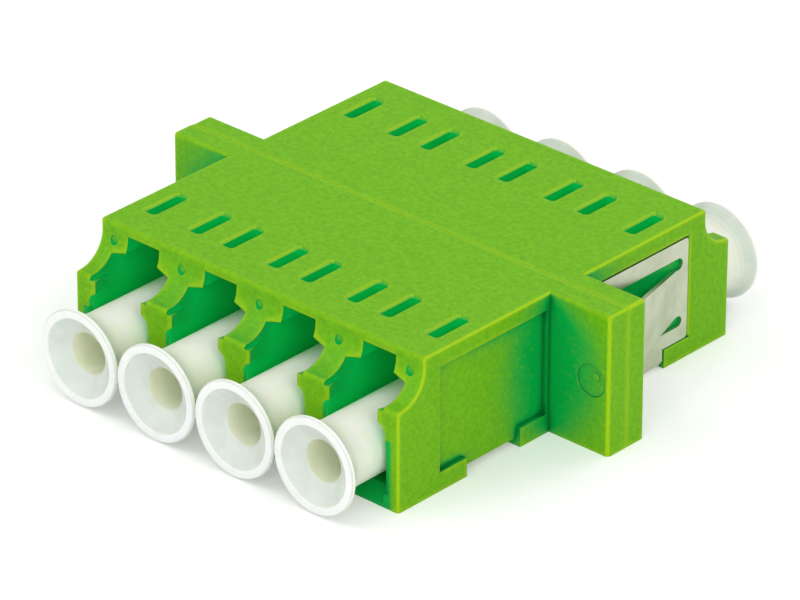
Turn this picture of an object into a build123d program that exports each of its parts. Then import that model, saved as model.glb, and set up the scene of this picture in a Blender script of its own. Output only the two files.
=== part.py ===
"""Four-port LC fibre adapter with flange ears, spring clip, ceramic sleeves and eight dust caps.

Millimetres. +Z is up, X runs across the ports and Y along them. The front ports open towards -Y.
The origin is under the middle of the flange, on the plane that the body stands on.
"""
import math
import os

from build123d import *

os.makedirs("parts", exist_ok=True)

# Ports
port_count = 4
port_pitch = 6.25
channel_size = 4.6
floor_thickness = 0.9
side_wall = 1.175
lug_zone_height = 1.85
head_slope = 0.25
latch_slot_width = 2.55
latch_slot_height = 1.3
top_plate = 0.55
window_offset = 1.82
window_width = 0.8
window_start = 4.6
window_length = 2.8
window_corner = 0.15
window_edge = 0.16
latch_arm_stop = 4.2
mouth_depth = 0.25
mouth_top_lead = 0.1
mouth_bottom_lead = 0.45
floor_lead_height = 0.7
floor_lead_depth = 0.9
guide_reach = 0.44
guide_height = 0.75
guide_slant = 0.45
guide_length = 1.4
guide_root = 0.2
guide_tail = 0.02

# Body and flange
body_length = 29.2
setback = 2.2
sweep_radius = 2.0
head_drop = 0.7
body_edge = 0.18
flange_thickness = 3.2
ear_reach = 4.55
ear_corner = 0.25
front_ear_top_edge = 0.18
rear_ear_top_edge = 0.28
seam_groove = 0.035
ejector_mark_diameter = 0.6
ejector_mark_depth = 0.03
ejector_mark_drop = 1.15
gate_mark_diameter = 2.1
gate_mark_depth = 0.06
gate_mark_inset = 1.35
gate_pip_diameter = 0.5
gate_pip_height = 0.05
gate_pip_offset = 0.35
locating_pin_diameter = 1.2
locating_pin_length = 0.8
locating_pin_inset = 2.6
locating_clearance = 0.05

# Recesses that the clip lies in
recess_depth = 0.35
recess_front_border = 3.7
recess_flange_rib = 0.25
recess_top_border = 1.05
recess_edge = 0.3
foot_height = 1.25
front_foot_length = 5.85
strip_corner = 0.3
flange_foot_length = 2.5

# Sleeve barrels and sleeves
barrel_diameter = 2.7
barrel_reach = 3.9
barrel_lead = 0.15
sleeve_diameter = 1.6
sleeve_bore = 1.26
sleeve_length = 6.8
sleeve_slit = 0.2
sleeve_clearance = 0.05
sleeve_end_gap = 0.1
ferrule_hole = 1.36

# Spring clip
clip_thickness = 0.25
clip_gap = 0.05
clip_end_gap = 0.1
clip_top_gap = 0.15
clip_bend = 0.55
clip_window_height = 4.6
clip_window_bottom = 2.28
clip_window_margin = 0.75
tongue_upper_slot = 0.78
tongue_lower_slot = 0.7
tongue_root_inset = 0.95
tongue_slot_depth = 0.45
tongue_panel_room = 2.1281
tongue_angle = 16.5
tongue_bend = 0.8
tongue_flare = 4.5
clip_corner = 0.25

# Dust caps
stem_clearance = 0.15
stem_end_gap = 0.65
stem_bore_clearance = 0.05
stem_lead = 0.25
cap_protrusion = 3.4
rim_diameter = 6.15
rim_width = 0.52
rim_thickness = 0.32
flare_length = 2.25
dish_depth = 0.9
cap_bore = 2.7
cap_bore_depth = 4.0
cap_partition = 0.8
dish_step = 0.08
rim_lip = 0.08

# How far cutters run past a face, and what the edge selectors allow
overlap = 1.0
tolerance = 0.01

# Worked out from the above
front = body_length / 2
axis_height = floor_thickness + channel_size / 2
channel_top = floor_thickness + channel_size
lug_zone_top = channel_top + lug_zone_height
slot_top = lug_zone_top + latch_slot_height
body_height = slot_top + top_plate
shoulder_height = body_height - head_drop - sweep_radius
body_width = (port_count - 1) * port_pitch + channel_size + 2 * side_wall
flange_width = body_width + 2 * ear_reach
flange_half = flange_thickness / 2
setback_plane = front - setback
window_end = front - window_start - window_length
port_x = [(index - (port_count - 1) / 2) * port_pitch for index in range(port_count)]
window_middle = window_end + window_length / 2
recess_front = front - recess_front_border
recess_rear = flange_half + recess_flange_rib
recess_top = body_height - recess_top_border
strip_front = front - front_foot_length
strip_rear = flange_half + flange_foot_length
side_head_x = (port_x[-1] + latch_slot_width / 2 + body_width / 2) / 2
head_x = [x + port_pitch / 2 for x in port_x[:-1]] + [-side_head_x, side_head_x]
gate_x = flange_width / 2 - gate_mark_inset
locating_x = flange_width / 2 - locating_pin_inset


def body_block():
    """The half body before its openings: set back at the top front, swept forward to the front
    plane lower down, with its outer edges rounded."""
    lip = setback - sweep_radius
    inner_end = -flange_half / 2
    with BuildPart() as block:
        with BuildSketch(Plane.YZ):
            with BuildLine():
                Polyline((inner_end, 0), (-front, 0), (-front, shoulder_height - lip))
                CenterArc((-front + lip, shoulder_height - lip), lip, 90, 90)
                CenterArc((-front + lip, shoulder_height + sweep_radius), sweep_radius, 270, 90)
                Polyline((-setback_plane, shoulder_height + sweep_radius), (-setback_plane, body_height),
                         (inner_end, body_height), (inner_end, 0))
            make_face()
        extrude(amount=body_width / 2, both=True)
        side_edges = block.faces().filter_by(Axis.X).edges()
        rounded = side_edges.filter_by(
            lambda edge: edge.center().Z > tolerance and edge.center().Y < inner_end - tolerance
        )
        top_front = block.faces().sort_by(Axis.Z)[-1].edges().sort_by(Axis.Y)[0]
        fillet(rounded + [top_front], body_edge)
    return block.part


def flange_block(ear_top_edge):
    """Half of the flange, with a shallow groove where it meets the other half."""
    with BuildPart() as flange:
        with BuildSketch(Plane.XZ) as face:
            with Locations((0, body_height / 2)):
                Rectangle(flange_width, body_height)
        extrude(amount=flange_half)
        outer = flange.faces().sort_by(Axis.Y)[0]
        upright = outer.edges().filter_by(Axis.Z)
        fillet(upright, ear_corner)
        top = flange.faces().sort_by(Axis.Z)[-1]
        fillet(top.edges().filter_by(lambda edge: edge.center().Y < -tolerance), ear_top_edge)
        seam = flange.faces().sort_by(Axis.Y)[-1].edges()
        chamfer(seam, seam_groove)
    return flange.part


def port_outline():
    """Front view of one port: square channel, lug zone above it and latch slot at the top."""
    half_channel = channel_size / 2
    half_slot = latch_slot_width / 2
    right_side = [
        (half_channel, floor_thickness),
        (half_channel, lug_zone_top),
        (half_slot, lug_zone_top + head_slope),
        (half_slot, slot_top),
    ]
    left_side = [(-x, z) for x, z in reversed(right_side)]
    with BuildSketch() as outline:
        with BuildLine():
            Polyline(*right_side, *left_side, close=True)
        make_face()
    return outline.sketch


def latch_guide():
    """A wedge on the right wall of a port that steers the latch, fading out inwards."""
    wall = channel_size / 2
    with BuildPart() as guide:
        for depth, reach in ((0, guide_reach), (guide_length, guide_tail)):
            with BuildSketch(Plane.XZ.offset(front - depth)):
                with BuildLine():
                    Polyline(
                        (wall + guide_root, channel_top - guide_slant),
                        (wall - reach, channel_top),
                        (wall - reach, channel_top + guide_height),
                        (wall + guide_root, channel_top + guide_height),
                        close=True,
                    )
                make_face()
        loft(ruled=True)
    return guide.part


def mouth_lead():
    """The lead-in beside the mouth of a port, wider towards the floor, and the ramp in the floor."""
    wall = channel_size / 2
    top = channel_top - guide_slant
    with BuildPart() as lead:
        with BuildSketch(Plane.XZ.offset(front + mouth_depth)):
            with BuildLine():
                Polyline(
                    (wall + 2 * mouth_top_lead, top),
                    (-wall - 2 * mouth_top_lead, top),
                    (-wall - 2 * mouth_bottom_lead, floor_thickness),
                    (wall + 2 * mouth_bottom_lead, floor_thickness),
                    close=True,
                )
            make_face()
        with BuildSketch(Plane.XZ.offset(front - mouth_depth)):
            with BuildLine():
                Polyline((wall, top), (-wall, top), (-wall, floor_thickness), (wall, floor_thickness),
                         close=True)
            make_face()
        loft(ruled=True)
        with BuildSketch(Plane.YZ):
            with BuildLine():
                Polyline((-front, floor_thickness - floor_lead_height),
                         (-front + floor_lead_depth, floor_thickness),
                         (-front, floor_thickness), close=True)
            make_face()
        extrude(amount=wall, both=True)
    return lead.part


def half_housing(ear_top_edge):
    """One moulded half, with its ports towards -Y and its weld face on Y = 0."""
    port_places = [(x, 0, 0) for x in port_x]
    front_plane = Plane.XZ.offset(front)
    with BuildPart() as half:
        add(body_block())
        add(flange_block(ear_top_edge))

        # Ports: the full outline as far as the windows, then the plug channel and the latch slot
        with BuildSketch(front_plane):
            with Locations(*[(x, 0) for x in port_x]):
                add(port_outline())
        extrude(amount=-(front - window_end), mode=Mode.SUBTRACT)
        with BuildSketch(front_plane):
            with Locations(*[(x, axis_height) for x in port_x]):
                Rectangle(channel_size, channel_size)
        extrude(amount=-(front - flange_half), mode=Mode.SUBTRACT)
        with BuildSketch(front_plane):
            with Locations(*[(x, (axis_height + slot_top) / 2) for x in port_x]):
                Rectangle(latch_slot_width, slot_top - axis_height)
        extrude(amount=-(front - latch_arm_stop), mode=Mode.SUBTRACT)

        # Latch windows through the top
        with BuildSketch(Plane.XY.offset(body_height)):
            for x in port_x:
                with Locations((x - window_offset, -window_middle), (x + window_offset, -window_middle)):
                    RectangleRounded(window_width, window_length, window_corner)
        extrude(amount=-(body_height - lug_zone_top), mode=Mode.SUBTRACT)
        top_face = half.faces().filter_by(Axis.Z).sort_by(Axis.Z)[-1]
        chamfer(top_face.inner_wires().edges(), window_edge)

        # Guides and mouths
        with Locations(*port_places):
            add(latch_guide())
            add(latch_guide().mirror(Plane.YZ))
            add(mouth_lead(), mode=Mode.SUBTRACT)

        # Barrels for the sleeves, from the web in the flange
        with BuildSketch(Plane.XZ):
            with Locations(*[(x, axis_height) for x in port_x]):
                Circle(barrel_diameter / 2)
        extrude(amount=barrel_reach)
        with Locations(Plane.XZ):
            with Locations(*[(x, axis_height) for x in port_x]):
                Cylinder(ferrule_hole / 2, 2 * barrel_reach + overlap, mode=Mode.SUBTRACT)
                Cylinder(sleeve_diameter / 2 + sleeve_clearance, sleeve_length + 2 * sleeve_end_gap,
                         mode=Mode.SUBTRACT)
        barrel_mouths = half.edges().filter_by(GeomType.CIRCLE).filter_by(
            lambda edge: abs(edge.center().Y + barrel_reach) < tolerance
        )
        chamfer(barrel_mouths, barrel_lead)

        # Recess for the clip: a panel on each side, joined by a strip under the body
        for side in (-1, 1):
            with BuildSketch(Plane.YZ.offset(side * body_width / 2)):
                with BuildLine():
                    Polyline(
                        (-recess_front, foot_height),
                        (-recess_front, recess_top),
                        (-recess_rear, recess_top),
                        (-recess_rear, foot_height),
                        (-strip_rear, foot_height),
                        (-strip_rear, -overlap),
                        (-strip_front, -overlap),
                        (-strip_front, foot_height),
                        close=True,
                    )
                make_face()
            extrude(amount=-side * recess_depth, mode=Mode.SUBTRACT)
        with BuildSketch(Plane.XY):
            with Locations((0, -(strip_front + strip_rear) / 2)):
                Rectangle(body_width + overlap, strip_front - strip_rear)
        extrude(amount=recess_depth, mode=Mode.SUBTRACT)
        border_edges = half.edges().filter_by(Axis.Z).filter_by(
            lambda edge: abs(abs(edge.center().X) - body_width / 2) < tolerance
            and abs(edge.center().Y + recess_front) < tolerance
        )
        fillet(border_edges, recess_edge)
        strip_corners = half.edges().filter_by(Axis.Y).filter_by(
            lambda edge: abs(abs(edge.center().X) - body_width / 2 + recess_depth) < tolerance
            and abs(edge.center().Z - recess_depth) < tolerance
        )
        fillet(strip_corners, strip_corner)

        # Ejector marks on the wall heads and the gate mark on one ear
        with BuildSketch(Plane.XZ.offset(setback_plane + overlap)):
            with Locations(*[(x, body_height - ejector_mark_drop) for x in head_x]):
                Circle(ejector_mark_diameter / 2)
        extrude(amount=-(overlap + ejector_mark_depth), mode=Mode.SUBTRACT)
        with BuildSketch(Plane.XZ.offset(flange_half)):
            with Locations((gate_x, body_height / 2)):
                Circle(gate_mark_diameter / 2)
        extrude(amount=-gate_mark_depth, mode=Mode.SUBTRACT)
        with BuildSketch(Plane.XZ.offset(flange_half - gate_mark_depth)):
            with Locations((gate_x + gate_pip_offset, body_height / 2 + gate_pip_offset)):
                Circle(gate_pip_diameter / 2)
        extrude(amount=gate_pip_height)

        # Locating pin in one ear and socket in the other
        with BuildSketch(Plane.XZ):
            with Locations((-locating_x, body_height / 2)):
                Circle(locating_pin_diameter / 2)
        extrude(amount=-locating_pin_length)
        with BuildSketch(Plane.XZ):
            with Locations((locating_x, body_height / 2)):
                Circle(locating_pin_diameter / 2 + locating_clearance)
        extrude(amount=locating_pin_length + locating_clearance, mode=Mode.SUBTRACT)
    return half.part


with BuildPart() as front_housing:
    add(half_housing(front_ear_top_edge))
front_housing.part.label = "front_housing"
export_step(front_housing.part, "parts/front_housing.step")

with BuildPart() as rear_housing:
    add(half_housing(rear_ear_top_edge).rotate(Axis.Z, 180))
rear_housing.part.label = "rear_housing"
export_step(rear_housing.part, "parts/rear_housing.step")

# Spring clip: a strip under the rear half that widens into a panel with a window on each side
plate_inner = body_width / 2 - recess_depth + clip_gap
plate_outer = plate_inner + clip_thickness
plate_middle = (plate_inner + plate_outer) / 2
strip_upper = recess_depth - clip_gap
strip_lower = strip_upper - clip_thickness
plate_top = recess_top - clip_top_gap
plate_front = recess_rear + clip_end_gap
plate_rear = recess_front - clip_gap
tongue_root = plate_rear - tongue_root_inset
clip_window_top = clip_window_bottom + clip_window_height
tongue_tip = flange_half + tongue_panel_room
tongue_run = tongue_root - tongue_bend * math.sin(math.radians(tongue_angle)) - tongue_tip
tongue_length = tongue_run / math.cos(math.radians(tongue_angle))
tongue_bottom = clip_window_bottom + tongue_lower_slot
tongue_top = clip_window_top - tongue_upper_slot
tongue_spread = tongue_length * math.tan(math.radians(tongue_flare))

with BuildPart() as metal_clip:
    # The U under the body
    with BuildSketch(Plane.XZ.offset(-strip_front + clip_end_gap)) as strip:
        with BuildLine():
            Polyline(
                (plate_inner, plate_top),
                (plate_outer, plate_top),
                (plate_outer, strip_lower),
                (-plate_outer, strip_lower),
                (-plate_outer, plate_top),
                (-plate_inner, plate_top),
                (-plate_inner, strip_upper),
                (plate_inner, strip_upper),
                close=True,
            )
        make_face()
        fillet(strip.vertices().group_by(Axis.Y)[0], clip_bend)
        inner_corners = strip.vertices().filter_by(lambda corner: abs(corner.Y - strip_upper) < tolerance)
        fillet(inner_corners, clip_bend - clip_thickness)
    extrude(amount=strip_front - strip_rear - 2 * clip_end_gap)
    for side in (-1, 1):
        # Side panel with its window
        with BuildSketch(Plane.YZ.offset(side * plate_inner)) as panel:
            with Locations(((plate_front + plate_rear) / 2, (foot_height + clip_gap + plate_top) / 2)):
                Rectangle(plate_rear - plate_front, plate_top - foot_height - clip_gap)
            fillet(panel.vertices(), clip_corner)
        extrude(amount=side * clip_thickness)
        with BuildSketch(Plane.YZ.offset(side * (plate_inner - overlap))):
            with Locations(((plate_front + clip_window_margin + tongue_root) / 2,
                            (clip_window_bottom + clip_window_top) / 2)):
                Rectangle(tongue_root - plate_front - clip_window_margin, clip_window_height)
            for low, high in ((clip_window_bottom, tongue_bottom), (tongue_top, clip_window_top)):
                with Locations((tongue_root, (low + high) / 2)):
                    SlotOverall(2 * tongue_slot_depth, high - low)
        extrude(amount=side * (clip_thickness + 2 * overlap), mode=Mode.SUBTRACT)

        # Tongue, bent outwards from its root towards the flange and wider at its free end
        with BuildPart() as tongue:
            with BuildSketch(Plane.XY):
                with BuildLine():
                    root = Line((side * plate_middle, tongue_root + tongue_slot_depth),
                                (side * plate_middle, tongue_root))
                    bend = JernArc(root @ 1, root % 1, tongue_bend, side * tongue_angle)
                    Line(bend @ 1, bend @ 1 + (bend % 1) * tongue_length)
                trace(line_width=clip_thickness)
            extrude(amount=plate_top)
            with BuildSketch(Plane.YZ):
                with BuildLine():
                    Polyline(
                        (tongue_root + tongue_slot_depth, tongue_top),
                        (tongue_root, tongue_top),
                        (tongue_root - tongue_length, tongue_top + tongue_spread),
                        (tongue_root - 2 * tongue_length, tongue_top + tongue_spread),
                        (tongue_root - 2 * tongue_length, tongue_bottom - tongue_spread),
                        (tongue_root - tongue_length, tongue_bottom - tongue_spread),
                        (tongue_root, tongue_bottom),
                        (tongue_root + tongue_slot_depth, tongue_bottom),
                        close=True,
                    )
                make_face()
            extrude(amount=body_width, both=True, mode=Mode.INTERSECT)
        add(tongue.part)
metal_clip.part.label = "metal_clip"
export_step(metal_clip.part, "parts/metal_clip.step")

# Alignment sleeves: ceramic tubes with one slit
with BuildPart() as sleeve:
    with BuildSketch(Plane.XZ):
        Circle(sleeve_diameter / 2)
        Circle(sleeve_bore / 2, mode=Mode.SUBTRACT)
        with Locations((0, sleeve_diameter / 2)):
            Rectangle(sleeve_slit, sleeve_diameter, mode=Mode.SUBTRACT)
    extrude(amount=sleeve_length / 2, both=True)

for number, x in enumerate(port_x, start=1):
    with BuildPart() as alignment_sleeve:
        with Locations((x, 0, axis_height)):
            add(sleeve.part)
    alignment_sleeve.part.label = f"alignment_sleeve_{number}"
    export_step(alignment_sleeve.part, f"parts/alignment_sleeve_{number}.step")

# Dust caps: one turned form, with a stem that slips over the barrel and a dished rim
stem_radius = channel_size / 2 - stem_clearance
stem_bore_radius = barrel_diameter / 2 + stem_bore_clearance
stem_end = -(flange_half + stem_end_gap)
stem_chamfer = min(stem_lead, (stem_radius - stem_bore_radius) / 3)
rim_radius = rim_diameter / 2
rim_front = -(front + cap_protrusion)
rim_back = rim_front + rim_thickness
flare_start = rim_front + flare_length
dish_floor = rim_front + dish_depth
bore_floor = dish_floor + cap_bore_depth
stem_bore_end = bore_floor + cap_partition

with BuildPart() as dust_cap:
    with BuildSketch(Plane.XY):
        with BuildLine():
            Polyline(
                (0, stem_bore_end),
                (stem_bore_radius, stem_bore_end),
                (stem_bore_radius, stem_end - stem_chamfer),
                (stem_bore_radius + stem_chamfer, stem_end),
                (stem_radius - stem_chamfer, stem_end),
                (stem_radius, stem_end - 2 * stem_chamfer),
                (stem_radius, flare_start),
            )
            TangentArc((stem_radius, flare_start), (rim_radius - rim_lip, rim_back), tangent=(0, -1))
            Polyline(
                (rim_radius - rim_lip, rim_back),
                (rim_radius, rim_back - rim_lip),
                (rim_radius, rim_front + rim_lip),
                (rim_radius - rim_lip, rim_front),
                (rim_radius - rim_width, rim_front),
                (rim_radius - rim_width - dish_step / 2, rim_front + dish_step),
                (cap_bore / 2, dish_floor),
                (cap_bore / 2, bore_floor),
                (0, bore_floor),
                (0, stem_bore_end),
            )
        make_face()
    revolve(axis=Axis.Y)

for number, x in enumerate(port_x, start=1):
    for row, turn in (("front", 0), ("rear", 180)):
        with BuildPart() as placed_cap:
            with Locations(Location((x, 0, axis_height), (0, 0, turn))):
                add(dust_cap.part)
        placed_cap.part.label = f"dust_cap_{row}_{number}"
        export_step(placed_cap.part, f"parts/dust_cap_{row}_{number}.step")
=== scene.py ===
"""Looks of a four-port fibre adapter: moulded lime plastic, ivory dust caps, spring steel and ceramic.

Metres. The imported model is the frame, and each of its nodes gets a procedural finish here. The floor,
the soft lamps and the camera make a plain pale studio.
"""
import math

import bpy
from mathutils import Matrix, Vector

MM = 0.001

# Camera: the photograph's viewpoint
IMAGE_WIDTH_PX = 800
FOCAL_PX = 6573
SENSOR_MM = 36.0
CAMERA_PLACE = (0.23072, -0.25449, 0.18814)
CAMERA_AIM = (-0.00113, 0.00089, 0.00264)
CAMERA_ROLL = 0.156
CAMERA_NEAR = 0.01

# Studio
FLOOR_SIZE = 8.0
FLOOR_COLOURS = ((238, 239, 238), (241, 242, 241))
FLOOR_GRAIN = 2.0 * MM
FLOOR_GLOW = 0.26
WORLD_LIGHT = 0.52
LAMPS = {
    # name: (place, size, power), each facing the object
    "key_softbox": ((-0.42, -0.38, 0.62), 0.55, 1.5),
    "top_softbox": ((0.05, -0.25, 0.75), 0.5, 0.5),
    "fill_softbox": ((0.62, -0.30, 0.34), 0.5, 1.6),
    "front_softbox": ((0.20, -0.60, 0.26), 0.35, 0.75),
    "back_softbox": ((0.10, 0.60, 0.45), 0.5, 1.2),
}

# Places on the housings, in the mouths, where painted shade makes the green deeper
MOUTH_START = 13.4 * MM
END_WALL = 11.68 * MM
LEAD_IN_END = 12.1 * MM
LEAD_IN_TOP = 4.4 * MM
CHANNEL_FLOOR = 0.95 * MM
BODY_SIDE = 12.4 * MM
TABLE_SHADE = (1.0 * MM, 2.6 * MM)
FADE = 0.1 * MM

# Noise is mostly between these
NOISE_RANGE = (0.3, 0.7)

# Lime plastic: colours, with painted shade in recesses and corners and a painted yellow highlight on
# edges, how far a place looks for room, and the shares of room where tones change
LIMES = ((103, 170, 12), (119, 188, 17))
PAINTED_SHADE_GREENS = ((0, 168, 70), (0, 222, 104))
CORNER_PAINTED_SHADE = (0, 108, 44)
EDGE_PAINTED_HIGHLIGHT = (172, 208, 22)
WIDE_REACH = 8.0 * MM
NEAR_REACH = 2.4 * MM
CORNER_REACH = 1.1 * MM
THIN_WALL = 0.45 * MM
OPEN_ROOM = (0.76, 0.84)
DEEP_ROOM = (0.5, 0.25)
CORNER_ROOM = (0.82, 0.45)
EDGE_ROOM = (0.62, 0.9)
THIN_ROOM = (0.93, 0.5)
RAGGED = 0.045
THIN_SHARE = 0.42
ROUND_SHARE = 0.75
EDGE_ROUNDING = 0.1 * MM
LIME_CLOUD = 1.4 * MM
LIME_MOTTLE = 0.3 * MM
LIME_GRAIN = 0.11 * MM

# Ivory plastic: colours of the tube, of painted shade on the flared dish, of a painted highlight on its
# rim, and of painted shade in the bore inside
TUBE_IVORIES = ((255, 252, 234), (255, 254, 243))
DISH_PAINTED_SHADE = ((212, 219, 212), (220, 227, 220))
RIM_PAINTED_HIGHLIGHT = ((245, 250, 243), (250, 253, 247))
BORE_PAINTED_SHADE = ((236, 241, 214), (243, 247, 226))
BORE_REACH = 4.0 * MM
BORE_ROOM = (0.3, 0.8)
DISH_TURN = (0.2, 0.7)
RIM_TURN = (0.88, 0.96)
IVORY_CLOUD = 1.1 * MM
IVORY_GRAIN = 0.2 * MM
IVORY_DEPTH = 1.0 * MM

# Steel and ceramic
STEELS = ((180, 187, 162), (196, 201, 178))
STEEL_CLOUD = 1.5 * MM
STEEL_GRAIN = 0.06 * MM
STEEL_STRETCH = (1.0, 0.06, 1.0)
CERAMICS = ((236, 234, 226), (244, 243, 238))
CERAMIC_CLOUD = 0.5 * MM


def srgb(red, green, blue):
    """A shader colour from the 0 to 255 values it shows as."""
    def linear(value):
        share = value / 255
        return share / 12.92 if share <= 0.04045 else ((share + 0.055) / 1.055) ** 2.4
    return (linear(red), linear(green), linear(blue), 1.0)


class Nodes:
    """A short way to build a node tree."""

    def __init__(self, tree):
        self.tree = tree

    def link(self, output, shader, name):
        self.tree.links.new(output, shader.inputs[name])

    def add(self, kind, inputs=None, **settings):
        """A node of that kind. Its inputs take values, or another node's output socket."""
        node = self.tree.nodes.new("ShaderNode" + kind)
        for name, value in settings.items():
            setattr(node, name, value)
        for name, value in (inputs or {}).items():
            if isinstance(value, bpy.types.NodeSocket):
                self.tree.links.new(value, node.inputs[name])
            else:
                node.inputs[name].default_value = value
        return node

    def math(self, operation, first, second=0.0, clamp=False):
        node = self.add("Math", {0: first, 1: second}, operation=operation, use_clamp=clamp)
        return node.outputs[0]

    def times(self, first, second):
        return self.math("MULTIPLY", first, second)

    def size(self, value):
        return self.math("ABSOLUTE", value)

    def ramp(self, value, low, high, to_low=0.0, to_high=1.0):
        """A smooth step of a value from one range to another."""
        node = self.add("MapRange", {"Value": value, "From Min": low, "From Max": high,
                                     "To Min": to_low, "To Max": to_high},
                        interpolation_type="SMOOTHSTEP")
        return node.outputs["Result"]

    def spread(self, share, low, high):
        """A share from nought to one, taken to another range."""
        node = self.add("MapRange", {"Value": share, "To Min": low, "To Max": high})
        return node.outputs["Result"]

    def place(self):
        """Where the surface lies in the adapter's frame, as X, Y and Z."""
        return self.add("SeparateXYZ", {0: self.add("TexCoord").outputs["Object"]}).outputs

    def facing(self):
        """Which way the surface faces, as X, Y and Z, before any bump or rounding."""
        return self.add("SeparateXYZ", {0: self.add("NewGeometry").outputs["True Normal"]}).outputs

    def seen(self):
        """One where the camera or a mirroring surface sees it, nought where it lights the object."""
        rays = self.add("LightPath").outputs
        mirrored = self.math("MAXIMUM", rays["Is Glossy Ray"], rays["Is Transmission Ray"])
        return self.math("MAXIMUM", rays["Is Camera Ray"], mirrored)

    def openness(self, reach, inside=False, own=True):
        """How much room there is within reach of the surface, outside it or inside the wall,
        counting the surface's own piece or everything round it."""
        node = self.add("AmbientOcclusion", {"Distance": reach}, samples=8, only_local=own,
                        inside=inside)
        return node.outputs["AO"]

    def noise(self, grain, detail=2.0, roughness=0.5, where=None):
        """Noise with grains of that size, centred on a half."""
        coordinates = where or self.add("TexCoord").outputs["Object"]
        node = self.add("TexNoise", {"Vector": coordinates, "Scale": 1 / grain, "Detail": detail,
                                     "Roughness": roughness})
        return node.outputs["Fac"]

    def mix(self, share, first, second):
        """A colour between two others."""
        node = self.add("Mix", data_type="RGBA")
        sockets = {socket.identifier: socket for socket in node.inputs}
        for identifier, value in (("Factor_Float", share), ("A_Color", first), ("B_Color", second)):
            if isinstance(value, bpy.types.NodeSocket):
                self.tree.links.new(value, sockets[identifier])
            else:
                sockets[identifier].default_value = value
        return next(socket for socket in node.outputs if socket.identifier == "Result_Color")

    def mottled(self, noise, colours, noise_range=NOISE_RANGE):
        """A colour that wanders between two, with the noise."""
        first, second = colours
        return self.mix(self.ramp(noise, *noise_range), srgb(*first), srgb(*second))

    def bump(self, height, depth, strength, normal=None):
        inputs = {"Height": height, "Distance": depth, "Strength": strength}
        if normal:
            inputs["Normal"] = normal
        return self.add("Bump", inputs).outputs["Normal"]


def new_material(name, values):
    """A Principled material with those values, and a helper for its nodes."""
    material = bpy.data.materials.new(name)
    material.use_nodes = True
    shader = material.node_tree.nodes["Principled BSDF"]
    for socket, value in values.items():
        shader.inputs[socket].default_value = value
    return material, shader, Nodes(material.node_tree)


def mouth_shade_share(nodes, place):
    """Where painted shade falls deep in the mouths: the floor's end, and the lead-in of the end walls.
    """
    across = nodes.size(place["X"])
    ending = nodes.ramp(nodes.size(place["Y"]), MOUTH_START - FADE, MOUTH_START)
    floor = nodes.times(nodes.ramp(across, END_WALL + FADE, END_WALL),
                        nodes.ramp(place["Z"], CHANNEL_FLOOR + FADE, CHANNEL_FLOOR))
    beside = nodes.times(nodes.ramp(across, END_WALL - FADE, END_WALL),
                         nodes.ramp(across, LEAD_IN_END + 3 * FADE, LEAD_IN_END))
    beside = nodes.times(beside, nodes.ramp(place["Z"], LEAD_IN_TOP + FADE, LEAD_IN_TOP))
    return nodes.times(ending, nodes.math("MAXIMUM", floor, beside))


def housing_room(nodes, place, facing):
    """How open a place on the housings is. Other pieces close it too, but not a front face, and
    not low down, where that would be the table."""
    wide = nodes.openness(WIDE_REACH)
    near = nodes.openness(NEAR_REACH, own=False)
    sideways = nodes.ramp(nodes.size(facing["Y"]), 0.8, 0.3)
    counted = nodes.times(nodes.ramp(place["Z"], *TABLE_SHADE), sideways)
    shut = nodes.times(nodes.math("SUBTRACT", 1.0, near), counted)
    return nodes.math("MINIMUM", wide, nodes.math("SUBTRACT", 1.0, shut))


def corner_shade(nodes, place):
    """How deep a place lies in the corners outside the body, such as those at the flange, where painted
    shade darkens the green.
    """
    outside = nodes.ramp(nodes.size(place["X"]), BODY_SIDE - 2 * FADE, BODY_SIDE)
    return nodes.times(nodes.ramp(nodes.openness(CORNER_REACH), *CORNER_ROOM), outside)


def edge_light(nodes, facing, room):
    """Where a painted highlight goes: the rounded edges that run along or up the body, and where the
    plastic is thin.
    """
    lean = nodes.size(facing["X"])
    rounding = nodes.times(nodes.ramp(lean, 0.04, 0.3), nodes.ramp(lean, 0.98, 0.85))
    thinness = nodes.ramp(nodes.openness(THIN_WALL, inside=True), *THIN_ROOM, 0.0, THIN_SHARE)
    strongest = nodes.math("MAXIMUM", nodes.times(rounding, ROUND_SHARE), thinness)
    return nodes.times(strongest, nodes.ramp(room, *EDGE_ROOM))


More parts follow.
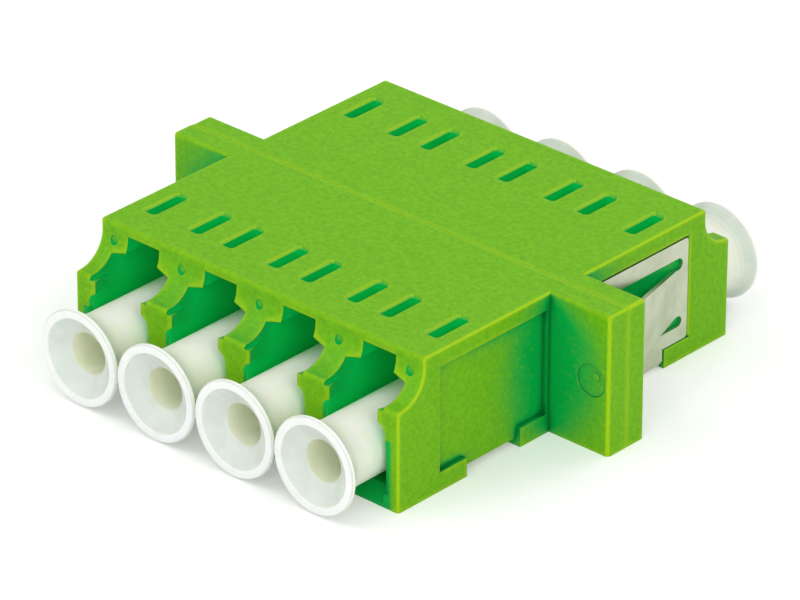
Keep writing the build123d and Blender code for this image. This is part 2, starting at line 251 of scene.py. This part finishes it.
def lime_plastic():
    """Moulded lime nylon, with a painted yellow highlight on its thin and rounded edges, and painted
    shade, a deeper green, in corners and recesses.
    """
    material, shader, nodes = new_material("lime_plastic", {"Specular IOR Level": 0.12, "IOR": 1.5})
    cloud = nodes.noise(LIME_CLOUD, detail=4, roughness=0.6)
    mottle = nodes.noise(LIME_MOTTLE, detail=4, roughness=0.65)
    place = nodes.place()
    facing = nodes.facing()

    # Painted shade: open faces stay lime and recesses take a deeper green, with a ragged border between
    # them
    room = housing_room(nodes, place, facing)
    # Painted shade: the mouths take the deeper green and no painted edge highlight
    mouth_shade = mouth_shade_share(nodes, place)
    shift = nodes.spread(nodes.ramp(mottle, *NOISE_RANGE), -RAGGED, RAGGED)
    ragged = nodes.math("ADD", room, shift)
    open_share = nodes.math("SUBTRACT", nodes.ramp(ragged, *OPEN_ROOM), mouth_shade, clamp=True)
    depth_share = nodes.ramp(room, *DEEP_ROOM)
    edge_highlight_share = nodes.math("SUBTRACT", edge_light(nodes, facing, room), mouth_shade, clamp=True)

    # Painted shade: deeper greens mixed in by how little room there is round a place
    shallow, deep = PAINTED_SHADE_GREENS
    shade_green = nodes.mix(depth_share, srgb(*shallow), srgb(*deep))
    # Painted shade: a dark green in the tight corners outside the body
    shade_green = nodes.mix(corner_shade(nodes, place), shade_green, srgb(*CORNER_PAINTED_SHADE))
    body = nodes.mix(open_share, shade_green, nodes.mottled(mottle, LIMES))
    # Painted highlight: a yellow laid on the edges
    nodes.link(nodes.mix(edge_highlight_share, body, srgb(*EDGE_PAINTED_HIGHLIGHT)), shader, "Base Color")

    rounded = nodes.add("Bevel", {"Radius": EDGE_ROUNDING}, samples=6).outputs["Normal"]
    grain = nodes.noise(LIME_GRAIN)
    surface = nodes.bump(grain, 0.007 * MM, 0.5, rounded)
    surface = nodes.bump(cloud, 0.05 * MM, 0.3, surface)
    nodes.link(surface, shader, "Normal")
    nodes.link(nodes.spread(grain, 0.4, 0.6), shader, "Roughness")
    return material


def ivory_plastic():
    """Soft, slightly waxy polyethylene of the dust caps, with painted shade, darker and warmer, in
    their bores and on the flared dish, and a painted highlight on the rim.
    """
    material, shader, nodes = new_material("ivory_plastic", {
        "Specular IOR Level": 0.3, "IOR": 1.51, "Subsurface Weight": 0.5,
        "Subsurface Scale": IVORY_DEPTH, "Subsurface Radius": (1.0, 0.95, 0.7)})
    cloud = nodes.noise(IVORY_CLOUD, detail=3)
    turned = nodes.size(nodes.facing()["Y"])
    # Painted shade on the flared dish and a painted highlight on the front-facing rim, chosen by which
    # way the surface faces
    outer = nodes.mix(nodes.ramp(turned, *DISH_TURN),
                      nodes.mottled(cloud, TUBE_IVORIES), nodes.mottled(cloud, DISH_PAINTED_SHADE))
    outer = nodes.mix(nodes.ramp(turned, *RIM_TURN), outer, nodes.mottled(cloud, RIM_PAINTED_HIGHLIGHT))
    # Painted shade in the bore, by how little room there is
    room = nodes.ramp(nodes.openness(BORE_REACH), *BORE_ROOM)
    colour = nodes.mix(room, nodes.mottled(cloud, BORE_PAINTED_SHADE), outer)
    nodes.link(colour, shader, "Base Color")
    grain = nodes.noise(IVORY_GRAIN)
    nodes.link(nodes.bump(grain, 0.01 * MM, 0.5), shader, "Normal")
    nodes.link(nodes.spread(grain, 0.34, 0.48), shader, "Roughness")
    return material


def spring_steel():
    """Rolled stainless strip with a satin grain along the adapter."""
    material, shader, nodes = new_material("spring_steel", {"Metallic": 1.0})
    place = nodes.add("TexCoord").outputs["Object"]
    rolled = nodes.add("Mapping", {"Vector": place, "Scale": STEEL_STRETCH}).outputs["Vector"]
    grain = nodes.noise(STEEL_GRAIN, detail=3, where=rolled)
    nodes.link(nodes.mottled(nodes.noise(STEEL_CLOUD), STEELS), shader, "Base Color")
    nodes.link(nodes.spread(grain, 0.26, 0.44), shader, "Roughness")
    nodes.link(nodes.bump(grain, 0.004 * MM, 0.5), shader, "Normal")
    return material


def zirconia():
    """Ground white ceramic of the sleeves."""
    material, shader, nodes = new_material("zirconia", {
        "Specular IOR Level": 0.6, "IOR": 2.1, "Coat Weight": 0.2})
    cloud = nodes.noise(CERAMIC_CLOUD)
    nodes.link(nodes.mottled(cloud, CERAMICS), shader, "Base Color")
    nodes.link(nodes.ramp(cloud, 0.2, 0.8, 0.16, 0.26), shader, "Roughness")
    return material


def dress(frame):
    """Gives each node of the frame its finish."""
    finishes = {
        "housing": lime_plastic(),
        "dust_cap": ivory_plastic(),
        "clip": spring_steel(),
        "sleeve": zirconia(),
    }
    for name, node in frame["nodes"].items():
        material = next(finish for word, finish in finishes.items() if word in name)
        for slot in node.material_slots:
            slot.material = material


def pale_floor():
    """A wide white table that keeps the object's shadow."""
    bpy.ops.mesh.primitive_plane_add(size=FLOOR_SIZE, location=(0, 0, 0))
    floor = bpy.context.object
    floor.name = "floor"
    material = bpy.data.materials.new("pale_table")
    material.use_nodes = True
    nodes = Nodes(material.node_tree)
    material.node_tree.nodes.remove(material.node_tree.nodes["Principled BSDF"])
    colour = nodes.mottled(nodes.noise(FLOOR_GRAIN), FLOOR_COLOURS, (0.2, 0.8))
    matt = nodes.add("BsdfDiffuse", {"Color": colour}).outputs[0]
    glow = nodes.add("Emission", {"Strength": nodes.times(nodes.seen(), FLOOR_GLOW)}).outputs[0]
    total = nodes.add("AddShader", {0: matt, 1: glow}).outputs[0]
    nodes.link(total, material.node_tree.nodes["Material Output"], "Surface")
    floor.data.materials.append(material)


def white_world():
    """Even light from all round, and white where it is seen or mirrored."""
    world = bpy.data.worlds.new("studio")
    bpy.context.scene.world = world
    world.use_nodes = True
    nodes = Nodes(world.node_tree)
    background = world.node_tree.nodes["Background"]
    background.inputs["Color"].default_value = (1.0, 1.0, 1.0, 1.0)
    nodes.link(nodes.spread(nodes.seen(), WORLD_LIGHT, 1.0), background, "Strength")


def look_at(thing, place, aim=(0, 0, 0), roll=0.0):
    """Puts a lamp or camera at a place, facing a point, with a roll in degrees."""
    facing = (Vector(aim) - Vector(place)).to_track_quat("-Z", "Y").to_matrix().to_4x4()
    thing.matrix_world = (Matrix.Translation(place) @ facing
                          @ Matrix.Rotation(math.radians(roll), 4, "Z"))


def soft_lamps():
    for name, (place, size, power) in LAMPS.items():
        light = bpy.data.lights.new(name, "AREA")
        light.size = size
        light.energy = power
        lamp = bpy.data.objects.new(name, light)
        bpy.context.scene.collection.objects.link(lamp)
        look_at(lamp, place)


def photo_camera():
    data = bpy.data.cameras.new("photo_camera")
    data.sensor_width = SENSOR_MM
    data.lens = FOCAL_PX * SENSOR_MM / IMAGE_WIDTH_PX
    data.clip_start = CAMERA_NEAR
    data.clip_end = 2 * FLOOR_SIZE
    camera = bpy.data.objects.new("photo_camera", data)
    bpy.context.scene.collection.objects.link(camera)
    look_at(camera, CAMERA_PLACE, CAMERA_AIM, CAMERA_ROLL)
    bpy.context.scene.camera = camera


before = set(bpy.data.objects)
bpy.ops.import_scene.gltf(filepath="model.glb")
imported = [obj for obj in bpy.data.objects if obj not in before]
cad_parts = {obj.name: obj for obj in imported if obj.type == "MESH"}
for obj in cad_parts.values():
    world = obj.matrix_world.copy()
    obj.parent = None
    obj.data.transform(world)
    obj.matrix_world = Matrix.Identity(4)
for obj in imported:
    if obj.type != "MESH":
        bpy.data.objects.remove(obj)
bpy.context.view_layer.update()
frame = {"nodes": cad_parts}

dress(frame)
pale_floor()
white_world()
soft_lamps()
photo_camera()
bpy.context.scene.view_settings.view_transform = "Standard"
